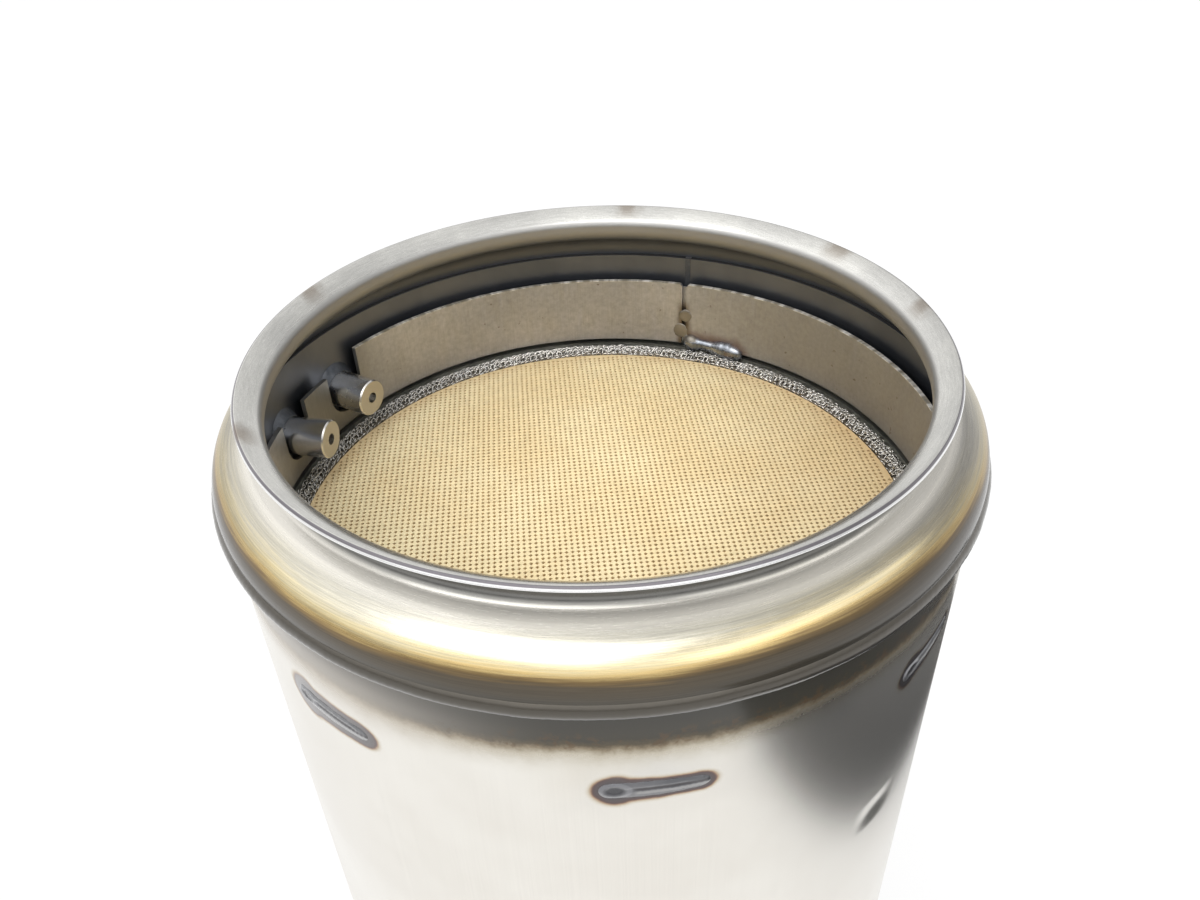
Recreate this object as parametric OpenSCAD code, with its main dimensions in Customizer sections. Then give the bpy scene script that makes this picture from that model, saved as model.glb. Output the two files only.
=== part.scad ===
// Diesel particulate filter: a wall-flow ceramic block in a steel can, carried inside an
// outer shell that has a drawn clamp flange welded to each end.
// Millimetres. The gas path runs along Z. The part stands on its outlet rim at z = 0.
// Depths are measured from a flange rim towards the middle of the filter.

/* [Filter block] */
// Diameter of the ceramic block
block_d = 266.7; // [220:0.1:300]
// Length of the ceramic block
block_len = 304.8; // [150:0.1:400]
// Depth of the block's face below each flange rim
face_depth = 85.1; // [82:0.1:120]
// Thickness of the packing between the block and its can
packing_t = 8.05; // [4:0.05:12]
// Height of the knitted wire seal at each end of the packing
mesh_h = 20; // [8:0.5:40]
// Height of the wire seal above the block's face
mesh_stand = 1.2; // [0:0.1:2.5]

/* [Can and shell] */
// Wall of the inner can
can_wall = 2; // [1:0.1:3]
// Height of the can's rim above the block's face
can_stand = 3.1; // [2.6:0.1:6]
// Thickness of the insulation between the can and the shell
insulation_t = 3.9; // [3.2:0.1:12]
// Wall of the outer shell
shell_wall = 2.5; // [1.5:0.1:4]
// Width of the lengthwise seam weld of the shell
seam_w = 3.2; // [2:0.1:6]
// Height of the weld crown outside the shell
crown_h = 0.6; // [0.2:0.1:1.2]
// Sheet of the ring that closes the gap between the can and the shell
end_ring_t = 2; // [1:0.1:2.5]

/* [Clamp flange] */
// Sheet of the flange
flange_t = 2.2; // [1.2:0.1:3]
// Step from the shell's inner wall in to the neck of the flange
neck_step = 18.8; // [14:0.1:26]
// Width of the flared lip, measured along the radius
lip_w = 8.2; // [6:0.1:12]
// Slope of the flared lip
lip_angle = 36; // [25:1:50]
// Part of the lip that is trimmed flat at the rim
rim_trim = 0.5; // [0.3:0.1:1]
// Outside radius of the bend under the lip
lip_bend_r = 2; // [1:0.1:4]
// Straight length of the neck
neck_len = 2; // [1:0.1:8]
// Outside radius of the groove under the neck
groove_r = 4.5; // [3:0.1:8]
// Outside radius of the shoulder
shoulder_r = 16; // [8:0.5:20]
// Fall of the slope between the groove and the shoulder
shoulder_drop = 1.4; // [0.5:0.1:6]
// Straight length of the skirt over the shell
skirt_len = 4.4; // [3:0.1:10]
// Radius of the weld bead along the skirt
bead_r = 4.5; // [3.5:0.1:6]

/* [Retaining strips] */
// Sheet of the strips
strip_t = 2; // [1:0.1:2]
// Height of the strips
strip_h = 35.5; // [34:0.5:50]
// Gap between the strips and the can's rim
strip_gap = 2.5; // [1:0.1:4]
// Direction of the visible joint between the strips
joint_az = 70; // [50:1:90]
// Gap at each joint
joint_gap = 2.4; // [1:0.1:5]
// Radius of the strip corners at a joint
corner_r = 3; // [1:0.5:6]
// Lowering of the strip's edge around the ports
port_drop = 5.5; // [2:0.5:8]
// Direction in which the lowered edge ends
drop_end_az = 184; // [180:1:200]
// Room around a port fitting in its notch
notch_room = 2.2; // [1:0.1:3]

/* [Ports] */
// Direction of the first port fitting
port_az_1 = 150.3; // [140:0.1:153]
// Direction of the second port fitting
port_az_2 = 166.9; // [164:0.1:172]
// Diameter of a port fitting
port_d = 17.7; // [14:0.1:19]
// Reach of a fitting inside the shell
port_reach = 22.9; // [12:0.1:40]
// Stand of a fitting outside the shell
port_stand = 6; // [4:0.5:25]
// Hole through the inner end of a fitting
port_hole_d = 5.2; // [3:0.1:7]
// Thread bore in the outer end of a fitting
thread_d = 10.5; // [8.5:0.1:12]
// Depth of the thread bore
thread_depth = 14; // [8:0.5:24]
// Edge break of the fitting's ends
port_edge = 0.6; // [0.2:0.1:1.2]
// Leg of the weld around a fitting
port_weld_leg = 3.6; // [2:0.1:4]

/* [Welds] */
// Number of stitch welds around each end of the shell
stitch_count = 8; // [4:1:12]
// Length of a stitch weld between its round ends, in degrees
stitch_angle = 11; // [6:1:20]
// Width of a stitch weld
stitch_w = 8; // [4:0.5:9]
// Height of a stitch weld over the shell
stitch_h = 1; // [0.8:0.1:1.5]
// Direction of the first stitch weld
stitch_az = 275; // [270:1:280]
// Distance of the stitch welds below the closing ring's edge
stitch_inset = 3; // [2:0.1:5]
// Radius of a tack weld's bead
tack_r = 3.3; // [2.6:0.1:3.5]
// Length of a tack weld, in degrees
tack_angle = 12; // [4:1:14]
// Clearance between pieces that fit together
fit_gap = 0.3; // [0.1:0.05:0.5]
// Clearance between a weld bead and the faces it lies on
weld_gap = 0.05; // [0.02:0.01:0.1]

/* [Hidden] */
$fn = 360;
small_fn = 48;
arc_steps = 14;
total_h = block_len + 2 * face_depth;
block_r = block_d / 2;
can_ir = block_r + packing_t + 2 * fit_gap;
can_or = can_ir + can_wall;
shell_ir = can_or + insulation_t + 2 * fit_gap;
shell_or = shell_ir + shell_wall;
skirt_ir = shell_or + fit_gap;
skirt_or = skirt_ir + flange_t;
neck_ir = shell_ir - neck_step;
neck_or = neck_ir + flange_t;
rim_r = neck_ir + lip_w;

// Centres of the flange's three bends as [radius, height], from the rim down
lip_centre = [neck_or + lip_bend_r, lip_height(neck_or + lip_bend_r)];
groove_centre = [neck_or + groove_r, lip_centre[1] - neck_len];
shoulder_centre = [skirt_or - shoulder_r, groove_centre[1] - groove_r - shoulder_r - shoulder_drop];
bend_step = shoulder_centre - groove_centre;
slope = acos((shoulder_r + groove_r) / norm(bend_step)) - atan2(bend_step[0], -bend_step[1]);
skirt_end = shoulder_centre[1] - skirt_len;
shell_end = -shoulder_centre[1];

// Heights of the inner pieces, from the rim down
can_end = can_stand - face_depth;
strip_low = can_end + strip_gap;
strip_top = strip_low + strip_h;
strip_ir = can_ir;
strip_or = strip_ir + strip_t;
port_z = strip_low + strip_h / 2;
end_ring_low = can_end - 2 * end_ring_t;
end_ring_top = port_z - port_d / 2 - port_weld_leg - 2 * fit_gap;
stitch_z = end_ring_top - stitch_inset;
notch_r = port_d / 2 + notch_room;
mesh_edge_r = packing_t * 0.3;
crown_r = (pow(seam_w, 2) / 4 + pow(crown_h, 2)) / (2 * crown_h);
stitch_r = (pow(stitch_w, 2) / 4 + pow(stitch_h, 2)) / (2 * stitch_h);
stitch_end = shell_or * sin(stitch_angle / 2);
bead_in = bead_r / 15;
far = 2 * shell_or;

// Height of the lip bend's centre that makes the lip end at the rim
function lip_height(r) = ((r - rim_r) * sin(lip_angle) - lip_bend_r - flange_t) / cos(lip_angle);
function direction(a) = [cos(a), sin(a)];

// Points along an arc, for the bends of a sheet section
function arc(centre, r, from, to) =
    [for (i = [0 : arc_steps]) centre + r * direction(from + (to - from) * i / arc_steps)];

// Places a shape drawn from a rim down at the inlet end
module at_inlet() {
    translate([0, 0, total_h]) children();
}

// Places the same shape at the outlet end, turned over about the direction of the joint
module at_outlet() {
    rotate(180, [cos(joint_az), sin(joint_az), 0]) children();
}

// Ring drawn from its section limits
module ring(r_in, r_out, low, high) {
    rotate_extrude() translate([r_in, low]) square([r_out - r_in, high - low]);
}

// Cuts a shape down to one side of the shell's radius
module outside_of(r, low, high) {
    difference() {
        children();
        translate([0, 0, low]) cylinder(r = r, h = high - low);
    }
}

// Turns a shape drawn along X so that it points along a direction at the ports' height
module at_port(az) {
    translate([0, 0, port_z]) rotate([0, 0, az]) rotate([0, 90, 0]) children();
}

module body_tube() {
    color([0.74, 0.73, 0.70]) difference() {
        translate([0, 0, shell_end]) linear_extrude(total_h - 2 * shell_end) difference() {
            circle(shell_or);
            circle(shell_ir);
            rotate(joint_az) translate([0, -seam_w / 2]) square([far, seam_w]);
        }
        at_inlet() for (az = [port_az_1, port_az_2])
            at_port(az) cylinder(d = port_d + 2 * fit_gap, h = far);
    }
}

// The seam weld fills the slot in the shell, and its crown ends short of the flange welds.
// The crown's root reaches into the filling, a little narrower than the slot.
module body_seam_weld() {
    crown_end = -skirt_end + 2 * bead_r;
    root_w = seam_w - 4 * weld_gap;
    color([0.52, 0.52, 0.53]) {
        translate([0, 0, shell_end]) linear_extrude(total_h - 2 * shell_end) intersection() {
            difference() {
                circle(shell_or);
                circle(shell_ir);
            }
            rotate(joint_az) translate([0, weld_gap - seam_w / 2]) square([far, seam_w - 2 * weld_gap]);
        }
        translate([0, 0, crown_end]) linear_extrude(total_h - 2 * crown_end) difference() {
            rotate(joint_az) intersection() {
                translate([shell_or + crown_h - crown_r, 0]) circle(crown_r);
                translate([0, -root_w / 2]) square([far, root_w]);
            }
            circle(shell_or - crown_h);
        }
    }
}

// Outer face of the drawn flange, from the lip down: bend, neck, groove, slope, shoulder and
// skirt. The inner face follows it one sheet further in.
function flange_face(sheet) = concat(
    arc(lip_centre, lip_bend_r + sheet, 90 + lip_angle, 180),
    arc(groove_centre, groove_r + sheet, 180, 270 - slope),
    arc(shoulder_centre, shoulder_r - sheet, 90 - slope, 0),
    [[skirt_or - sheet, skirt_end]]);

// The lip ends square to its sheet, and its upper edge is trimmed flat at the rim
module flange_section() {
    lip_out = [rim_r, 0] + rim_trim * direction(lip_angle) + flange_t * direction(lip_angle - 90);
    rim_out = [rim_r + rim_trim / cos(lip_angle), 0];
    inner_face = flange_face(flange_t);
    polygon(concat([[rim_r, 0], rim_out, lip_out], flange_face(0),
                   [for (i = [len(inner_face) - 1 : -1 : 0]) inner_face[i]]));
}

module flange() {
    color([0.70, 0.69, 0.66]) rotate_extrude() flange_section();
}

module inlet_flange() {
    at_inlet() flange();
}

module outlet_flange() {
    at_outlet() flange();
}

// Round bead that joins the skirt's edge to the shell
module flange_weld() {
    color([0.36, 0.38, 0.42]) rotate_extrude() difference() {
        translate([shell_or - bead_in, skirt_end]) circle(bead_r, $fn = small_fn);
        translate([0, -far]) square([shell_or + weld_gap, 2 * far]);
        translate([0, skirt_end - weld_gap]) square([skirt_or + weld_gap, 2 * bead_r]);
    }
}

module inlet_flange_weld() {
    at_inlet() flange_weld();
}

module outlet_flange_weld() {
    at_outlet() flange_weld();
}

module filter_can() {
    color([0.42, 0.40, 0.36]) ring(can_ir, can_or, -can_end, total_h + can_end);
}

module insulation_blanket() {
    color([0.86, 0.85, 0.80])
        ring(can_or + fit_gap, shell_ir - fit_gap, -end_ring_low, total_h + end_ring_low);
}

// Angle ring: its flat leg closes the gap over the insulation, its outer leg lies on the shell
module end_ring() {
    color([0.45, 0.44, 0.42]) rotate_extrude() {
        translate([can_or + fit_gap, end_ring_low])
            square([shell_ir - can_or - 2 * fit_gap, end_ring_t]);
        translate([shell_ir - fit_gap - end_ring_t, end_ring_low])
            square([end_ring_t, end_ring_top - end_ring_low]);
    }
}

module inlet_end_ring() {
    at_inlet() end_ring();
}

module outlet_end_ring() {
    at_outlet() end_ring();
}

module filter_block() {
    color([0.83, 0.72, 0.52]) translate([0, 0, face_depth]) cylinder(r = block_r, h = block_len);
}

module support_mat() {
    mat_low = face_depth + mesh_h - mesh_stand;
    color([0.88, 0.86, 0.80]) ring(block_r + fit_gap, can_ir - fit_gap, mat_low, total_h - mat_low);
}

// Knitted wire ring with a rounded top, pressed between the block and the can
module mesh_seal() {
    low = mesh_stand - face_depth - mesh_h;
    shoulder = mesh_stand - face_depth - mesh_edge_r;
    inner = block_r + fit_gap;
    outer = can_ir - fit_gap;
    color([0.62, 0.62, 0.60]) rotate_extrude() {
        translate([inner, low]) square([outer - inner, shoulder - low]);
        translate([inner + mesh_edge_r, shoulder]) square([outer - inner - 2 * mesh_edge_r, mesh_edge_r]);
        intersection() {
            union() {
                translate([inner + mesh_edge_r, shoulder]) circle(mesh_edge_r);
                translate([outer - mesh_edge_r, shoulder]) circle(mesh_edge_r);
            }
            translate([inner, shoulder]) square([outer - inner, mesh_edge_r]);
        }
    }
}

module inlet_mesh_seal() {
    at_inlet() mesh_seal();
}

module outlet_mesh_seal() {
    at_outlet() mesh_seal();
}

// Half ring of strip from one joint to the next, with its top corners rounded at the joints
module strip(from) {
    half_gap = asin(joint_gap / 2 / strip_or);
    span = 180 - 2 * half_gap;
    corner_in = 0.9 * corner_r;
    color([0.50, 0.46, 0.39]) difference() {
        rotate([0, 0, from + half_gap]) rotate_extrude(angle = span)
            translate([strip_ir, strip_low]) square([strip_t, strip_h]);
        for (end = [0, 1]) rotate([0, 0, from + 180 * end]) mirror([0, end, 0])
            translate([0, joint_gap / 2 + corner_in, strip_top - corner_in]) rotate([0, 90, 0])
                corner_cut();
    }
}

// Square outside a quarter round, drawn through the strip
module corner_cut() {
    linear_extrude(far) difference() {
        translate([-2 * corner_r, -2 * corner_r]) square(2 * corner_r);
        circle(corner_r);
    }
}

// Open notch in the rear strip that a port fitting passes through
module port_notch(az) {
    at_port(az) cylinder(r = notch_r, h = far);
    translate([0, 0, port_z]) rotate([0, 0, az]) translate([0, -notch_r, 0])
        cube([far, 2 * notch_r, strip_h]);
}

// Wedge that lowers the strip's edge from the first port to where the lowered edge ends
module lowered_edge() {
    rotate([0, 0, port_az_1]) rotate_extrude(angle = drop_end_az - port_az_1)
        translate([strip_ir - strip_t, strip_top - port_drop]) square([3 * strip_t, strip_h]);
}

module inlet_strip_rear() {
    at_inlet() color([0.50, 0.46, 0.39]) difference() {
        strip(joint_az);
        port_notch(port_az_1);
        port_notch(port_az_2);
        lowered_edge();
    }
}

module inlet_strip_front() {
    at_inlet() strip(joint_az + 180);
}

// Turning a strip over brings it to the other side of the joint
module outlet_strip_rear() {
    at_outlet() strip(joint_az + 180);
}

module outlet_strip_front() {
    at_outlet() strip(joint_az);
}

// Bead on the inner face that joins a strip to the can's rim
module tack_weld(az) {
    height = strip_low - strip_gap / 2;
    color([0.40, 0.42, 0.45]) rotate([0, 0, az - tack_angle / 2]) rotate_extrude(angle = tack_angle)
        difference() {
            translate([can_ir - 0.3 * tack_r, height]) circle(tack_r, $fn = small_fn);
            translate([can_ir - weld_gap, height - 2 * tack_r]) square(4 * tack_r);
        }
}

// Fused spot across a joint of the strips, on their inner face
module joint_tack(height) {
    spot_r = 1.6 * tack_r;
    color([0.40, 0.42, 0.45]) rotate([0, 0, joint_az]) intersection() {
        translate([strip_ir + 0.75 * spot_r, 0, strip_low + height * strip_h])
            sphere(spot_r, $fn = small_fn);
        translate([0, 0, strip_low]) cylinder(r = strip_ir - weld_gap, h = strip_h);
    }
}

module tack_welds() {
    for (third = [0 : 2]) tack_weld(joint_az - 8.5 + 120 * third);
    joint_tack(0.5);
    joint_tack(0.25);
}

module inlet_tack_welds() {
    at_inlet() tack_welds();
}

module outlet_tack_welds() {
    at_outlet() tack_welds();
}

// Plan of a stitch weld: a bar with a slightly wider round end where the arc starts and stops
module stitch_plan() {
    square([2 * stitch_end, 0.86 * stitch_w], center = true);
    for (side = [-1, 1]) translate([side * stitch_end, 0]) circle(d = 0.92 * stitch_w, $fn = small_fn);
}

// Low domed beads that fix the closing ring through the shell
module stitch_welds() {
    color([0.55, 0.50, 0.42]) for (i = [0 : stitch_count - 1])
        rotate([0, 0, stitch_az + 360 * i / stitch_count]) intersection() {
            rotate([0, 0, -stitch_angle]) rotate_extrude(angle = 2 * stitch_angle) difference() {
                translate([shell_or + stitch_h - stitch_r, stitch_z]) circle(stitch_r, $fn = 4 * small_fn);
                translate([0, stitch_z - 2 * stitch_r]) square([shell_or + weld_gap, 4 * stitch_r]);
            }
            translate([0, 0, stitch_z]) rotate([90, 0, 90]) linear_extrude(2 * shell_or) stitch_plan();
        }
}

module inlet_stitch_welds() {
    at_inlet() stitch_welds();
}

module outlet_stitch_welds() {
    at_outlet() stitch_welds();
}

// Turned fitting through the shell: a round stub, drilled small inside and threaded outside
module port_fitting(az) {
    inner = shell_ir - port_reach;
    outer = shell_or + port_stand;
    r = port_d / 2;
    color([0.58, 0.56, 0.53]) at_inlet() at_port(az) rotate_extrude() difference() {
        polygon([[0, inner], [r - port_edge, inner], [r, inner + port_edge],
                 [r, outer - port_edge], [r - port_edge, outer], [0, outer]]);
        translate([0, inner]) square([port_hole_d / 2, outer - inner]);
        translate([0, outer - thread_depth]) square([thread_d / 2, thread_depth]);
    }
}

module port_fitting_1() {
    port_fitting(port_az_1);
}

module port_fitting_2() {
    port_fitting(port_az_2);
}

// Fillet weld around a fitting, as a cone whose wide end lies towards the shell's wall
module port_weld(az, tip, way) {
    r_tip = port_d / 2 + fit_gap;
    at_port(az) translate([0, 0, tip]) mirror([0, 0, way]) difference() {
        cylinder(r1 = r_tip, r2 = r_tip + 2 * port_weld_leg, h = 2 * port_weld_leg);
        translate([0, 0, -port_weld_leg]) cylinder(d = port_d + 2 * weld_gap, h = 4 * port_weld_leg);
    }
}

module port_inner_welds() {
    color([0.38, 0.38, 0.40]) at_inlet() for (az = [port_az_1, port_az_2]) intersection() {
        port_weld(az, shell_ir - port_weld_leg, 0);
        translate([0, 0, strip_low]) cylinder(r = shell_ir - weld_gap, h = strip_h);
    }
}

module port_outer_welds() {
    color([0.45, 0.43, 0.40]) at_inlet() for (az = [port_az_1, port_az_2])
        outside_of(shell_or + weld_gap, strip_low, strip_top) port_weld(az, shell_or + port_weld_leg, 1);
}

body_tube();
body_seam_weld();
inlet_flange();
outlet_flange();
inlet_flange_weld();
outlet_flange_weld();
filter_can();
insulation_blanket();
inlet_end_ring();
outlet_end_ring();
filter_block();
support_mat();
inlet_mesh_seal();
outlet_mesh_seal();
inlet_strip_rear();
inlet_strip_front();
outlet_strip_rear();
outlet_strip_front();
inlet_tack_welds();
outlet_tack_welds();
inlet_stitch_welds();
outlet_stitch_welds();
port_fitting_1();
port_fitting_2();
port_inner_welds();
port_outer_welds();
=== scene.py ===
import random
from math import asin, atan2, cos, degrees, exp, floor, hypot, pi, radians, sin, sqrt

import bmesh
import bpy
import numpy as np
from mathutils import Matrix, Vector, noise
from mathutils.geometry import delaunay_2d_cdt


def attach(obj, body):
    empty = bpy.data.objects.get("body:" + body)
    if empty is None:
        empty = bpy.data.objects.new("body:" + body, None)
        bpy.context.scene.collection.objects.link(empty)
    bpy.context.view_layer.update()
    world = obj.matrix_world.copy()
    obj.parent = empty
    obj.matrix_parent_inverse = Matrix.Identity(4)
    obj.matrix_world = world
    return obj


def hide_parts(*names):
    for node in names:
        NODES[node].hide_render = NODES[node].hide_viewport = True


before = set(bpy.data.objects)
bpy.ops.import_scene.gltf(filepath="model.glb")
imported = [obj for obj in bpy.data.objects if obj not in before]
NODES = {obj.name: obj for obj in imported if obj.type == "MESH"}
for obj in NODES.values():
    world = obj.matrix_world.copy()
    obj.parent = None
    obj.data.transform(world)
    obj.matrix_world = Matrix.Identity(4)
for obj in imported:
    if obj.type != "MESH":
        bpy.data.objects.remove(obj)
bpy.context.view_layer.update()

MM = 0.001

# Sizes that part.scad derives, in mm and degrees; heights count from a flange rim
TOTAL = 475.0  # height of the part
SHELL_IR, SHELL_OR = 148.5, 151.0
SKIRT_OR, SKIRT_END = 153.5, -36.398
BEAD_R, BEAD_C = 4.5, 150.7  # flange weld: radius of its section, and where its centre runs
CAN_IR = 142.0
BLOCK_R, FACE_Z = 133.35, -85.1
STRIP_LOW, STRIP_TOP = -79.5, -44.0
JOINT_AZ = 70.0  # joint of the strips
PORT_AZ = 158.6  # midway between the two ports
STITCH_Z, STITCH_AZ = -77.8, -85.0
STITCHES = 8

# Section of the flange
SHEET = 2.2
RIM_R, LIP_ANGLE = 137.9, 36.0
LIP_C, LIP_R = (133.9, -8.0977), 2.0
GROOVE_C, GROOVE_R = (136.4, -10.0977), 4.5
SHOULDER_C, SHOULDER_R = (137.5, -31.998), 16.0
SLOPE = 17.9
NECK_EDGE = 134.7  # radius where the groove under the lip runs out into the slope


def rgb(r, g, b):
    """Screen colour 0-255 as the linear colour that a shader takes."""
    def lin(v):
        v /= 255.0
        return v / 12.92 if v <= 0.04045 else ((v + 0.055) / 1.055) ** 2.4
    return (lin(r), lin(g), lin(b), 1.0)


# Meshes

def linked(name, me):
    """New object in the scene that shows a mesh."""
    ob = bpy.data.objects.new(name, me)
    bpy.context.scene.collection.objects.link(ob)
    return ob


def bmesh_object(name, bm):
    """New object from a bmesh in metres, which is used up."""
    me = bpy.data.meshes.new(name)
    bm.to_mesh(me)
    bm.free()
    return linked(name, me)


def mesh_object(name, verts, faces, smooth=True, sharp=None):
    """New object from points in mm, in the part's frame, with its normals outward."""
    me = bpy.data.meshes.new(name)
    me.from_pydata([tuple(c * MM for c in v) for v in verts], [], faces)
    me.validate()
    me.update()
    if smooth:
        me.shade_smooth()
        if sharp:
            me.set_sharp_from_angle(angle=radians(sharp))
    bm = bmesh.new()
    bm.from_mesh(me)
    bmesh.ops.recalc_face_normals(bm, faces=bm.faces)
    bm.to_mesh(me)
    bm.free()
    return linked(name, me)


def add_piece(ob, slot, material, *nodes):
    """The piece rides with the part, takes its material and hides the nodes that it stands for. Its slot is
    not used.
    """
    ob.data.materials.append(material)
    if nodes:
        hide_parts(*nodes)
    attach(ob, "root")


def inlet(p):
    """Point of the inlet end, given from its rim, in the part's frame."""
    return (p[0], p[1], TOTAL + p[2])


def outlet(p):
    """The same at the outlet, turned over about the direction of the strip joint."""
    a = radians(2 * JOINT_AZ)
    c, s = cos(a), sin(a)
    return (c * p[0] + s * p[1], s * p[0] - c * p[1], -p[2])


ENDS = {"inlet": inlet, "outlet": outlet}


def polar(r, az, z):
    a = radians(az)
    return (r * cos(a), r * sin(a), z)


def arc(centre, r, start, end, steps):
    out = []
    for i in range(steps + 1):
        a = radians(start + (end - start) * i / steps)
        out.append((centre[0] + r * cos(a), centre[1] + r * sin(a)))
    return out


def loop(n, first=0):
    """Pairs of neighbours in a closed row of n."""
    return [(first + k, first + (k + 1) % n) for k in range(n)]


def swept_ring(section, segs, place, wobble=None):
    """Closed section of (radius, height) points turned about the axis."""
    count = len(section)
    verts, faces = [], []
    for i in range(segs):
        az = 360.0 * i / segs
        for j, (r, z) in enumerate(section):
            if wobble:
                r, z = wobble(r, z, az, j)
            verts.append(place(polar(r, az, z)))
    for i, after in loop(segs):
        for j, k in loop(count):
            faces.append((i * count + j, after * count + j, after * count + k, i * count + k))
    return verts, faces


# Flange and its weld

FLANGE_SEGS, BEAD_SEGS = 384, 1440
BEAD_STEPS = 11  # of the bead's round section
BEAD_SEEDS = {"inlet": 1.0, "outlet": 8.0}
RIPPLES = 314  # weld ripples in one turn
# The lip's sheared edge: along the lip past the rim, and down through the sheet
LIP_EDGE = ((0.0, 0.0), (0.30, 0.0), (0.46, 0.06), (0.58, 0.22), (0.62, 0.5), (0.62, SHEET - 0.45),
            (0.57, SHEET - 0.18), (0.42, SHEET))


def flange_section():
    """The drawn sheet from the lip to the skirt, with small edge rounds."""
    def face(t):
        return (arc(LIP_C, LIP_R + t, 90 + LIP_ANGLE, 180, 10)
                + arc(GROOVE_C, GROOVE_R + t, 180, 270 - SLOPE, 14)
                + arc(SHOULDER_C, SHOULDER_R - t, 90 - SLOPE, 0, 26)
                + [(SKIRT_OR - t, SKIRT_END)])
    a = radians(LIP_ANGLE)
    c, s = cos(a), sin(a)
    edge = [(RIM_R + out * c + down * s, min(0.0, out * s - down * c)) for out, down in LIP_EDGE]
    return edge + face(0) + face(SHEET)[::-1]


def bead_section():
    """Round outside of the weld bead, from the skirt's face down to the shell."""
    proud = 0.05  # the flat sides stand clear of the sheets
    top = degrees(asin((SKIRT_OR + proud - BEAD_C) / BEAD_R))
    section = arc((BEAD_C, SKIRT_END), BEAD_R, 90 - top, -90, BEAD_STEPS)
    return section + [(SHELL_OR + proud, SKIRT_END - 0.1), (SKIRT_OR + proud, SKIRT_END - 0.1)]


def bead_wobble(seed):
    """Lumps and ripples on the round part of the bead's section."""
    def move(r, z, az, j):
        if j > BEAD_STEPS:
            return r, z
        a = radians(az)
        q = Vector((cos(a) * 9, sin(a) * 9, seed))
        lump = 0.22 * noise.noise(q) + 0.10 * noise.noise(q * 3.1)
        t = j / BEAD_STEPS
        wave = az * RIPPLES / 360.0 + 0.35 * sin(pi * t) + 0.5 * noise.noise(q * 2.3)
        ripple = 0.022 * sin(2 * pi * wave)
        fade = sin(pi * min(max(t, 0.03), 0.97)) ** 0.5
        k = 1 + (lump + ripple - 0.25) * fade / BEAD_R
        return BEAD_C + (r - BEAD_C) * k, SKIRT_END + (z - SKIRT_END) * k
    return move


# Honeycomb: the open cells stand on a square lattice, turned 45 degrees from their own walls

LATTICE, LATTICE_TURN = 2.54, 0.067  # pitch in mm, and turn in radians
CELL_HALF = 0.92  # half diagonal of an open cell
CELL_SPREAD, CELL_STRAY = 0.06, 0.04  # how much the cells differ in size, and stray from the lattice
PIT = 5.0  # depth of the open cells that is modelled
MOUTH = FACE_Z - 0.03  # the cells' mouths lie just under the face
FACE_R = BLOCK_R - 0.02
RIM_POINTS, CORE_SIDES = 720, 240
CORNERS = ((0, -1), (1, 0), (0, 1), (-1, 0))
# Each neighbour of a cell, with the two lattice corners that they share
SIDES = (((0, -1), (0, 0), (1, 0)), ((1, 0), (1, 0), (1, 1)),
         ((0, 1), (1, 1), (0, 1)), ((-1, 0), (0, 1), (0, 0)))


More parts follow.
